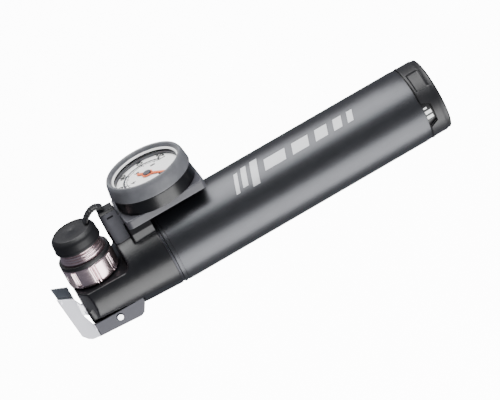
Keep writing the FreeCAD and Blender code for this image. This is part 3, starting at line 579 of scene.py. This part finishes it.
    def strap(self) -> None:
        """The strap: a rounded ribbon carried along an arch from the cap's top to the post's block.

        The path is a cubic through five places, and the cross-section is a flattened superellipse
        whose width swells at both ends and whose back carries shallow ribs.
        """
        places = np.array(self.strap_places)
        knots = np.linspace(0, 1, len(places))
        t = np.linspace(0, 1, 64)
        fit = [np.polynomial.Polynomial.fit(knots, places[:, i], 3) for i in (0, 1)]
        path = np.stack([curve(t) for curve in fit], axis=1)
        along = np.gradient(path, axis=0)
        along /= np.linalg.norm(along, axis=1, keepdims=True)
        normal = np.stack([-along[:, 1], along[:, 0]], axis=1)
        turn = np.linspace(0, TAU, 40, endpoint=False)
        half = self.strap_half + self.strap_swell * np.abs(2 * t - 1) ** 3
        thick = self.strap_thick + self.strap_rib * np.sin(TAU * self.strap_ribs * t)
        side = half[:, None] * self.squared(np.cos(turn))[None, :]
        lift = thick[:, None] * self.squared(np.sin(turn))[None, :]
        centre = path[:, None, :] + lift[..., None] * normal[:, None, :]
        points = to_frame(np.stack([centre[..., 0], side, centre[..., 1]], axis=-1), Axis.CHUCK)
        piece = object_from("cap_strap_rubber", points.reshape(-1, 3), capped_faces(*side.shape), 50.0)
        piece.data.materials.append(RUBBER.material())
        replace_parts(piece, "cap_strap")
        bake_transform(piece)
        LOG.info("%s bends between the dust cap and the head", piece.name)

    def build(self) -> None:
        """Makes every piece of the chuck."""
        self.collar()
        self.dust_cap()
        self.strap()


# ---------------------------------------------------------------- gauge
@dataclass
class Gauge:
    """The dial gauge: bezel, case, lens, printed dial and pointer."""

    full_scale: int = 120
    inner_full_scale: float = 8.28
    number_step: int = 20
    ticks_per_number: int = 4
    zero_angle: float = -45.0
    sweep: float = 270.0
    dial_face: float = 30.0
    dial_radius: float = 12.98
    dial_hole: float = 0.9
    dial_thick: float = 0.6
    ink: float = 0.04
    ring_radius: float = 9.4
    ring_width: float = 0.8
    inner_ring_radius: float = 8.5
    inner_ring_width: float = 0.3
    number_radius: float = 11.5
    number_size: float = 3.7
    inner_number_radius: float = 6.2
    inner_number_size: float = 2.7
    boldness: float = 26.0
    lens_radius: float = 13.1
    lens_height: float = 32.0
    lens_crown: float = 0.25
    lens_thick: float = 0.7
    blade_along: tuple = (-4.8, -4.4, 0.0, 10.5, 11.7)
    blade_half: tuple = (0.40, 0.65, 0.80, 0.34, 0.12)
    blade_gap: float = 0.35
    blade_thick: float = 0.25
    disc_thick: float = 0.3

    def angle(self, share: np.ndarray | float) -> np.ndarray | float:
        """The angle of a share of full scale, in radians: it runs clockwise seen from above."""
        return np.radians(self.zero_angle - self.sweep * share)

    def bezel(self) -> None:
        """The bezel: a sloping outside with a crease, a rounded crown, and a white inner step that is a
        painted highlight along the lens's edge.
        """
        seat = self.lens_height
        outline = rounded([(14.6, 28.4, 0.1), (16.5, 28.4, 0.35), (15.8, 33.1, 0.5), (15.1, 34.4, 0.45),
                           (14.1, 34.2, 0.5), (13.6, 32.75, 0.2), (13.25, 32.6, 0.2),
                           (13.2, seat, 0.05), (14.6, seat, 0.05)], 6)
        dress(turned("bezel_ring", outline, Axis.GAUGE, 192), BEZEL_PLASTIC, "head", "bezel_plastic",
              "gauge_bezel")
        # Painted highlight: a thin pale ring along the lens's edge stands for the edge's highlight.
        step = rounded([(13.2, 32.05, 0.05), (13.62, 32.75, 0.05), (13.45, 32.85, 0.05),
                        (12.95, 32.15, 0.05)], 3)
        dress(turned("lens_edge_painted_highlight", step, Axis.GAUGE, 160), PALE_PLASTIC, "head",
              "bezel_plastic")
        inner = rounded([(13.1, 28.6, 0.1), (13.9, 28.6, 0.1), (13.9, 31.1, 0.1), (13.1, 31.1, 0.1)], 3)
        dress(turned("dial_well", inner, Axis.GAUGE, 160), BEZEL_PLASTIC, "head", "case_plastic")

    def lens(self) -> None:
        """The lens: a thin disc, slightly domed as a parabola of the radius."""
        radius = np.linspace(0.0, self.lens_radius, 24)
        crown = self.lens_height + self.lens_crown * (1 - (radius / self.lens_radius) ** 2)
        outline = np.concatenate([np.stack([radius, crown], axis=1),
                                  np.stack([radius[::-1], crown[::-1] - self.lens_thick], axis=1)])
        dress(turned("lens_disc", outline, Axis.GAUGE, 128), LENS, "head", "lens", "gauge_lens")

    def dial(self) -> None:
        """The dial plate with its printed ring, ticks and numbers."""
        hole, edge, top = self.dial_hole, self.dial_radius, self.dial_face
        plate = rounded([(hole, top - self.dial_thick, 0.05), (edge, top - self.dial_thick, 0.1),
                         (edge, top, 0.1), (hole, top, 0.05)], 3)
        dress(turned("dial_plate", plate, Axis.GAUGE, 128), DIAL_WHITE, "head", "dial_paint",
              "gauge_dial")
        dress(self.arc("dial_ring", self.ring_radius, self.ring_width), DIAL_GREY, "head", "dial_paint")
        dress(self.arc("dial_inner_ring", self.inner_ring_radius, self.inner_ring_width), DIAL_GREY,
              "head", "dial_paint")
        steps = range(0, self.full_scale + 1, self.number_step)
        outer = np.linspace(0, 1, (len(steps) - 1) * self.ticks_per_number + 1)
        long_ticks = np.arange(outer.size) % self.ticks_per_number == 0
        ticks = [self.tick(share, 8.8, 9.8, 0.6) if long_tick else self.tick(share, 9.2, 9.8, 0.4)
                 for share, long_tick in zip(outer, long_ticks)]
        dress(joined("dial_ticks", ticks), DIAL_BLACK, "head", "dial_paint")
        inner_shares = np.arange(0, 9) / self.inner_full_scale
        inner = [self.tick(share, 7.7, self.inner_ring_radius, 0.3) for share in inner_shares]
        dress(joined("dial_inner_ticks", inner), DIAL_BLACK, "head", "dial_paint")
        outer_numbers = [self.number(str(step), step / self.full_scale, self.number_radius,
                                     self.number_size) for step in steps]
        dress(joined("dial_numbers", outer_numbers), DIAL_BLACK, "head", "dial_paint")
        inner_numbers = [self.number(str(step), step / self.inner_full_scale,
                                     self.inner_number_radius, self.inner_number_size)
                         for step in range(0, 9, 2)]
        dress(joined("dial_inner_numbers", inner_numbers), DIAL_BLACK, "head", "dial_paint")

    def arc(self, name: str, radius: float, width: float) -> bpy.types.Object:
        """A printed ring: a thin band of a circle over the whole sweep of the scale.

        Args:
            name: The piece's name.
            radius: Its inner radius.
            width: Its width.

        Returns:
            The new object.
        """
        angle = self.angle(np.linspace(0.0, 1.0, 160))
        section = [(radius, 0.0), (radius + width, 0.0), (radius + width, self.ink), (radius, self.ink)]
        rows = [np.stack([r * np.cos(angle), r * np.sin(angle),
                          np.full(angle.size, self.dial_face + height)], axis=-1)
                for r, height in section]
        points = to_frame(np.stack(rows, axis=1), Axis.GAUGE).reshape(-1, 3)
        return object_from(name, points, capped_faces(angle.size, len(section)))

    def tick(self, share: float, inner: float, outer: float, width: float
             ) -> tuple[np.ndarray, np.ndarray]:
        """A radial tick: a thin box between two radii, turned to its place on the scale.

        Args:
            share: Its place, as a share of full scale.
            inner: Radius of its inner end.
            outer: Radius of its outer end.
            width: Its width.

        Returns:
            Its points in millimetres in the CAD frame, and its faces.
        """
        a = self.angle(share)
        ray = np.array([math.cos(a), math.sin(a), 0.0])
        side = np.array([-math.sin(a), math.cos(a), 0.0])
        up = np.array([0.0, 0.0, 1.0])
        points = np.array([r * ray + s * side * width / 2 + (self.dial_face + height) * up
                           for height in (0.0, self.ink) for r in (inner, outer) for s in (-1, 1)])
        return to_frame(points, Axis.GAUGE), BOX_FACES

    def number(self, text: str, share: float, radius: float, size: float
               ) -> tuple[np.ndarray, np.ndarray]:
        """A number on the dial, upright when the chuck's side of the dial is its top.

        Args:
            text: The number.
            share: Its place, as a share of full scale.
            radius: Radius of its middle.
            size: Its height as a font's size.

        Returns:
            The points in millimetres in the CAD frame, and the faces as triangles.
        """
        curve = bpy.data.curves.new("number", "FONT")
        curve.body, curve.size = text, size
        curve.align_x, curve.align_y = "CENTER", "CENTER"
        curve.extrude, curve.resolution_u, curve.offset = self.ink / 2, 3, size / self.boldness
        holder = bpy.data.objects.new("number", curve)
        bpy.context.scene.collection.objects.link(holder)
        graph = bpy.context.evaluated_depsgraph_get()
        mesh = bpy.data.meshes.new_from_object(holder.evaluated_get(graph))
        bpy.data.objects.remove(holder)
        flat = np.zeros(len(mesh.vertices) * 3)
        mesh.vertices.foreach_get("co", flat)
        flat = flat.reshape(-1, 3)
        mesh.calc_loop_triangles()
        faces = np.zeros(len(mesh.loop_triangles) * 3, int)
        mesh.loop_triangles.foreach_get("vertices", faces)
        a = self.angle(share)
        points = np.stack([radius * math.cos(a) - flat[:, 1], radius * math.sin(a) + flat[:, 0],
                           self.dial_face + self.ink / 2 + flat[:, 2]], axis=-1)
        return to_frame(points, Axis.GAUGE), faces.reshape(-1, 3)

    def needle(self) -> None:
        """The pointer: a tapered blade at the zero angle, a boss under it and a dark disc on top."""
        a = math.radians(self.zero_angle)
        along, half = np.array(self.blade_along), np.array(self.blade_half)
        base = self.dial_face + self.blade_gap
        top = base + self.blade_thick
        section = ((-1, base), (1, base), (1, top), (-1, top))
        rows = [np.stack([along * math.cos(a) - side * half * math.sin(a),
                          along * math.sin(a) + side * half * math.cos(a),
                          np.full(along.size, height)], axis=-1) for side, height in section]
        points = to_frame(np.stack(rows, axis=1), Axis.GAUGE).reshape(-1, 3)
        dress(object_from("needle_blade", points, capped_faces(along.size, len(section))), DIAL_RED,
              "gauge_needle", "needle_paint", "gauge_needle")
        for name, radius, foot, finish in (("needle_boss", 2.2, 30.3, DIAL_RED),
                                           ("needle_disc", 1.6, 30.75, DIAL_GREY)):
            high_face = foot + self.disc_thick
            disc = rounded([(0.0, foot, 0.0), (radius, foot, 0.1), (radius, high_face, 0.2),
                            (0.0, high_face, 0.0)], 4)
            dress(turned(name, disc, Axis.GAUGE, 64), finish, "gauge_needle", "needle_paint")

    def build(self) -> None:
        """Makes every piece of the gauge."""
        self.bezel()
        dress(moulded("gauge_case", "case_shell", 0.22), CASE_PLASTIC, "head", "case_plastic")
        self.lens()
        self.dial()
        self.needle()


# ---------------------------------------------------------------- barrel and selector
@dataclass
class Barrel:
    """The anodised barrel with a plain printed graphic, and the selector cap over its legend ring."""

    radius: float = 15.0
    bore: float = 13.2
    start: float = 28.2
    length: float = 108.5
    lip: float = 1.2
    groove_width: float = 0.5
    groove_depth: float = 0.3
    cap_gap: float = 0.3
    cap_end: float = 9.0
    cap_bore: float = 13.9
    cap_floor: float = 2.6
    screw_well: float = 3.6
    screw_hole: float = 1.8
    screw_depth: float = 1.2
    panel_depth: float = 0.45
    panel_pitch: float = 70.0
    first_panel: float = 55.0
    panel_half: float = 17.0
    panel_foot: float = 0.9
    panel_top: float = 6.4
    window_depth: float = 3.6
    window_wide: float = 21.5
    window_narrow: float = 14.5
    window_fade: float = 5.6
    bars: tuple = ((33.5, 1.6, 40, 72), (36.6, 2.2, 44, 76), (40.6, 3.0, 38, 78), (46.5, 9.0, 50, 68),
                   (58.5, 7.0, 50, 68), (68.5, 5.2, 50, 68), (76.4, 3.6, 50, 68), (82.4, 2.4, 50, 68))
    bar_shear: float = 0.35
    bar_middle: float = 58.0
    marks: tuple = ((2.6, -9.0, -3.5), (2.6, 0.0, 5.5), (1.4, 9.0, 12.0))

    def tube(self) -> None:
        """The tube: a lip and a fine groove near its mouth, thin bevels at both ends."""
        a, b, r = self.start, self.start + self.length, self.radius
        groove, mouth = r - self.groove_depth, a + self.lip
        outline = np.concatenate([
            rounded([(self.bore, a, 0.1), (r - 0.05, a, 0.25), (r, mouth, 0.08),
                     (groove, mouth + 0.05, 0.05), (groove, mouth + self.groove_width - 0.05, 0.05),
                     (r, mouth + self.groove_width, 0.08)], 4),
            np.stack([np.full(12, r), np.linspace(a + 4, b - 2, 12)], axis=1),
            rounded([(r, b, 0.2), (self.bore, b, 0.1)], 4)])
        dress(turned("barrel_tube", outline, Axis.BARREL, 192), ANODISED, "barrel_handle",
              "barrel_alloy", "barrel")

    def patch(self, place: float, width: float, span: tuple[float, float], faces: tuple[float, float],
              grid: tuple[int, int], shear: float = 0.0) -> tuple[np.ndarray, np.ndarray]:
        """A thin printed patch that follows a round surface.

        It is two grids of (distance, angle), one over the other; the distance is place + width u,
        sheared by the angle from the bars' middle.

        Args:
            place: Distance of its near edge along the barrel.
            width: Its width along the barrel.
            span: Its two edge angles, in degrees.
            faces: Radii of its under side and its face.
            grid: Points along and round.
            shear: Distance that it slants per radian.

        Returns:
            Its points in millimetres in the CAD frame, and its faces.
        """
        u, v = np.linspace(0, 1, grid[0]), np.radians(np.linspace(*span, grid[1]))
        angle = np.broadcast_to(v[None, :], (u.size, v.size))
        along = place + width * u[:, None] + shear * (angle - math.radians(self.bar_middle))
        sheets = [np.stack([-r * np.cos(angle), r * np.sin(angle), along], axis=-1) for r in faces]
        number = np.arange(2 * u.size * v.size).reshape(2, u.size, v.size)
        sides = [number[:, 0, :], number[:, -1, :], number[:, :, 0], number[:, :, -1]]
        quads = np.concatenate([grid_quads(side) for side in [number[0], number[1], *sides]])
        return to_frame(np.stack(sheets), Axis.BARREL).reshape(-1, 3), quads

    def graphic(self) -> None:
        """A plain graphic: three narrow slanted bars, then bars whose widths fall towards the cap."""
        faces = (self.radius + 0.002, self.radius + 0.03)
        parts = [self.patch(self.start + place, width, (lowest, highest), faces, (12, 28),
                            self.bar_shear * self.radius)
                 for place, width, lowest, highest in self.bars]
        dress(joined("barrel_graphic", parts), PRINT, "barrel_handle", "barrel_alloy")

    def legend(self) -> None:
        """Three plain bars on the legend ring, the last one short, that show in the cap's window."""
        ring = (high("legend_ring")[1] - low("legend_ring")[1]) / 2.0
        faces = (ring + 0.005, ring + 0.04)
        parts = [self.patch(self.start + self.length + 0.5, reach, (lowest, highest), faces, (4, 8))
                 for reach, lowest, highest in self.marks]
        dress(joined("legend_bars", parts), PALE_PLASTIC, "barrel_handle", "legend_plastic")

    @staticmethod
    def from_window(angle: np.ndarray) -> np.ndarray:
        """How far each angle is from the window's middle, in degrees."""
        return np.degrees(np.abs(angle % TAU - math.pi))

    def cap_shape(self, angle: np.ndarray, radius: np.ndarray, along: np.ndarray) -> tuple:
        """Sinks the grip panels into the cap's side and steps its open edge back at the window.

        The panels repeat at an even pitch with soft edges; the step moves the points near the open
        edge along the axis and leaves those past the window where they are.

        Args:
            angle: Angle of each point round the axis, in radians.
            radius: Radius of each point.
            along: Distance of each point along the axis.

        Returns:
            The changed radius and distance.
        """
        edge = self.start + self.length + self.cap_gap
        away, half_pitch = self.from_window(angle), self.panel_pitch / 2
        centre = np.abs((away - self.first_panel + half_pitch) % self.panel_pitch - half_pitch)
        soft = np.clip((self.panel_half - centre) / 2.0, 0, 1) * (away > 30)
        rise = np.clip((along - edge - self.panel_foot) / 0.5, 0, 1)
        fall = np.clip((edge + self.panel_top - along) / 0.8, 0, 1)
        depth = self.panel_depth * soft * (rise * fall) * (radius > 14.3)
        opening = np.clip((self.window_wide - away) / (self.window_wide - self.window_narrow), 0, 1)
        share = np.clip(1 - (along - edge) / self.window_fade, 0, 1)
        return radius - depth, along + opening * (self.window_depth - self.cap_gap) * share

    def cap(self) -> None:
        """The selector cap: a cup with a rounded end, grip panels and a window."""
        edge, end = self.start + self.length + self.cap_gap, self.start + self.length + self.cap_end
        floor, seat = end - self.cap_floor, end - self.screw_depth
        side = np.linspace(edge + 0.35, edge + 6.2, 44)
        outline = np.concatenate([
            rounded([(self.cap_bore, edge, 0.12), (self.radius, edge, 0.25)], 4),
            np.stack([np.full(side.size, self.radius), side], axis=1),
            rounded([(self.radius, end, 2.4), (self.screw_well, end, 0.15),
                     (self.screw_well, seat, 0.1), (self.screw_hole, seat, 0.1),
                     (self.screw_hole, floor, 0.1), (self.cap_bore, floor, 0.3)], 7)])
        dress(turned("selector_cap", outline, Axis.BARREL, 720, self.cap_shape, 40.0), CAP_PLASTIC,
              "mode_cap", "cap_plastic", "mode_cap")

    def build(self) -> None:
        """Makes every piece of the barrel."""
        self.tube()
        self.graphic()
        self.legend()
        self.cap()


# ---------------------------------------------------------------- head and lever
@dataclass
class Head:
    """The moulded head with the gauge's bracket and the block that holds the strap."""

    mark_x: tuple[float, float] = (13.7, 16.2)
    mark_z: tuple[float, float] = (23.5, 24.05)
    post_z: tuple[float, float] = (5.3, 25.6)
    post_half: tuple[float, float] = (7.3, 2.6)
    post_right: float = 18.4
    under_saddle: float = 19.0
    boss_foot: float = 15.2
    mark_stands: float = 0.07
    mark_depth: float = 0.5
    side_facing: float = 0.7

    def mark(self) -> None:
        """The short slot near the top of the post's leaning near face; its place and size are the
        slot's, its near-black colour is painted shade.

        It is a box with its front laid on the face, whose half-width falls evenly with height.
        """
        z = np.array(self.mark_z)
        face = -np.interp(z, self.post_z, self.post_half)
        sheets = np.stack([face - self.mark_stands, face + self.mark_depth], axis=-1)
        points = [(x, y, height) for x in self.mark_x for height, row in zip(z, sheets) for y in row]
        # Painted shade: the slot is a box just proud of the face, coloured near-black for the shade
        # inside it.
        piece = object_from("post_slot_painted_shade", to_frame(np.array(points), Axis.CHUCK), BOX_FACES)
        dress(piece, PAINTED_SHADE, "head", "head_plastic")

    def build(self) -> None:
        """Makes every moulded piece of the head; faces under the saddle, and the bracket's faces that
        turn sideways below it, get painted shade.
        """
        boss, under = ((BARREL_AXIS + height) * MM for height in (self.boss_foot, self.under_saddle))
        right, sideways = self.post_right * MM, self.side_facing
        shell = dress(moulded("head_body", "head_shell", 0.3, 5), HEAD_PLASTIC, "head", "head_plastic")
        # Painted shade: the shell's faces above the boss and past the post, under the saddle, take the
        # near-black finish.
        two_tone(shell, PAINTED_SHADE, lambda face: face.center.z > boss and face.center.x > right)
        bracket = dress(moulded("gauge_bracket", "bracket_shell", 0.22, 5), BRACKET_PLASTIC, "head",
                        "bracket_plastic")
        # Painted shade: the bracket's faces below the saddle, past the post or turned sideways, take
        # the near-black finish.
        two_tone(bracket, PAINTED_SHADE, lambda face: face.center.z < under
                 and (face.center.x > right or abs(face.normal.x) > sideways))
        self.mark()
        dress(moulded("strap_anchor", "strap_block", 0.12, 5), RUBBER, "head", "black_rubber")


@dataclass
class Lever:
    """The pressed steel thumb lever with its pad and its riveted pin."""

    pin_radius: float = 1.4
    pin_half: float = 10.9

    def build(self) -> None:
        """Makes every piece of the lever."""
        pressing = dress(moulded("thumb_lever", "lever_pressing", 0.16, 3), CHROME, "thumb_lever",
                         "lever_steel")
        cheek_end = low("head_body")[0] * MM
        two_tone(pressing, SATIN_STEEL, lambda face: face.center.x > cheek_end)
        dress(moulded("lever_pad", "pad_cover", 0.14, 4), PAD_RUBBER, "thumb_lever", "black_rubber")
        half, r = self.pin_half, self.pin_radius
        outline = rounded([(0.0, -half, 0.0), (r, -half, 0.35), (r, half, 0.35), (0.0, half, 0.0)], 6)
        dress(turned("lever_rivet", outline, Axis.PIN, 48), STEEL, "thumb_lever", "steel", "lever_pin")


# ---------------------------------------------------------------- stage
@dataclass(frozen=True)
class Softbox:
    """A rectangular soft light, in metres and watts.

    Attributes:
        name: The light's name.
        place: Where it hangs.
        aim: The point that it faces.
        size: Its two sides.
        power: Its power.
    """

    name: str
    place: tuple[float, float, float]
    aim: tuple[float, float, float]
    size: tuple[float, float]
    power: float

    def hang(self) -> None:
        """Adds the light to the scene."""
        data = bpy.data.lights.new(self.name, "AREA")
        data.shape, data.energy = "RECTANGLE", self.power
        data.size, data.size_y = self.size
        box = bpy.data.objects.new(self.name, data)
        turn = (Vector(self.aim) - Vector(self.place)).to_track_quat("-Z", "Y")
        box.matrix_world = Matrix.Translation(self.place) @ turn.to_matrix().to_4x4()
        bpy.context.scene.collection.objects.link(box)


@dataclass
class Studio:
    """Camera, lights and the pale floor."""

    azimuth: float = -5.50
    elevation: float = 26.48
    roll: float = -27.6
    camera_from_joint: tuple[float, float, float] = (-48.33, -880.33, 439.91)
    lens: float = 187.87
    sensor: float = 36.0
    middle: tuple[float, float, float] = (0.06, 0.0, 0.0)
    floor_drop: float = 0.45
    floor_half: float = 3.0
    world_color: tuple[float, float, float, float] = (0.82, 0.88, 1.06, 1.0)
    world_strength: float = 0.22

    def camera(self) -> None:
        """A long lens that looks down on the pump, turned about its own axis."""
        a, e, r = (math.radians(v) for v in (self.azimuth, self.elevation, self.roll))
        back = Vector((math.sin(a) * math.cos(e), -math.cos(a) * math.cos(e), math.sin(e)))
        right = Vector((math.cos(a), math.sin(a), 0.0))
        up = back.cross(right)
        across = math.cos(r) * right + math.sin(r) * up
        upwards = -math.sin(r) * right + math.cos(r) * up
        place = Vector(self.camera_from_joint) * MM + Vector((Barrel.start * MM, 0, BARREL_AXIS * MM))
        data = bpy.data.cameras.new("camera")
        data.lens, data.sensor_width = self.lens, self.sensor
        data.clip_start, data.clip_end = 0.01, 20.0
        eye = bpy.data.objects.new("camera", data)
        turn = Matrix((across, upwards, back)).transposed().to_4x4()
        eye.matrix_world = Matrix.Translation(place) @ turn
        bpy.context.scene.collection.objects.link(eye)
        bpy.context.scene.camera = eye

    def lights(self) -> None:
        """A wide softbox overhead, a low one in front, a wash over the floor and a dim even world."""
        wash = 0.12 - self.floor_drop
        for box in (Softbox("overhead", (0.10, 0.02, 0.60), self.middle, (1.0, 0.42), 15.0),
                    Softbox("front_low", (0.12, -0.285, -0.29), self.middle, (0.42, 0.40), 5.2),
                    Softbox("floor_wash", (0.0, 0.0, wash), (0.0, 0.0, -self.floor_drop),
                            (6.0, 6.0), 1700.0)):
            box.hang()
        world = bpy.data.worlds.new("world")
        world.use_nodes = True
        background = world.node_tree.nodes["Background"]
        background.inputs["Color"].default_value = self.world_color
        background.inputs["Strength"].default_value = self.world_strength
        bpy.context.scene.world = world

    def floor(self) -> None:
        """A wide pale floor well below the pump, left out of its bounce light and reflections."""
        edges = np.array([(-1, -1), (1, -1), (1, 1), (-1, 1)]) * self.floor_half / MM
        points = np.column_stack([edges, np.full(4, -self.floor_drop / MM)])
        ground = object_from("floor", points, [[0, 1, 2, 3]])
        ground.data.materials.append(FLOOR.material())
        ground.visible_diffuse = ground.visible_glossy = False

    def build(self) -> None:
        """Makes the camera, the lights and the floor."""
        self.camera()
        self.lights()
        self.floor()


PLAIN_FINISHES = {
    "head_washer": SATIN_STEEL, "bracket_screws": STEEL, "movement_plate": BRASS, "bourdon_tube": BRASS,
    "gauge_stem": BRASS, "sector_pivot": STEEL, "sector_gear": BRASS, "needle_arbor": BRASS,
    "chuck_spigot": ALLOY, "valve_grommet": RUBBER, "inner_tube": ALLOY, "tube_seal": RUBBER,
    "valve_spring": STEEL, "piston": PALE_PLASTIC, "piston_seal": RUBBER, "front_bush": PALE_PLASTIC,
    "bush_wiper": RUBBER, "end_plug": CAP_PLASTIC, "legend_ring": CAP_PLASTIC, "cap_screw": STEEL,
    "detent_ball": STEEL, "detent_spring": STEEL, "lever_cam": STEEL, "plunger": PALE_PLASTIC,
    "plunger_orings": RUBBER, "check_poppet": RUBBER,
}


def dress_cad_nodes() -> None:
    """Gives the CAD nodes that stay visible their finishes."""
    for node, finish in PLAIN_FINISHES.items():
        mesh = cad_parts[node].data
        mesh.materials.clear()
        mesh.materials.append(finish.material())
        LOG.info("%s keeps its CAD shape", node)


def corners(box: Sequence[Vector]) -> list[list[float]]:
    """Two corners as plain lists of numbers."""
    return [[float(value) for value in corner] for corner in box]


def main() -> None:
    """Builds the studio and every sub-assembly in order."""
    logging.basicConfig(level=logging.INFO, format="%(message)s")
    Studio().build()
    for assembly in (Head(), Lever(), Chuck(), Gauge(), Barrel()):
        LOG.info("building %s", type(assembly).__name__)
        assembly.build()
    dress_cad_nodes()


if __name__ == "__main__":
    main()
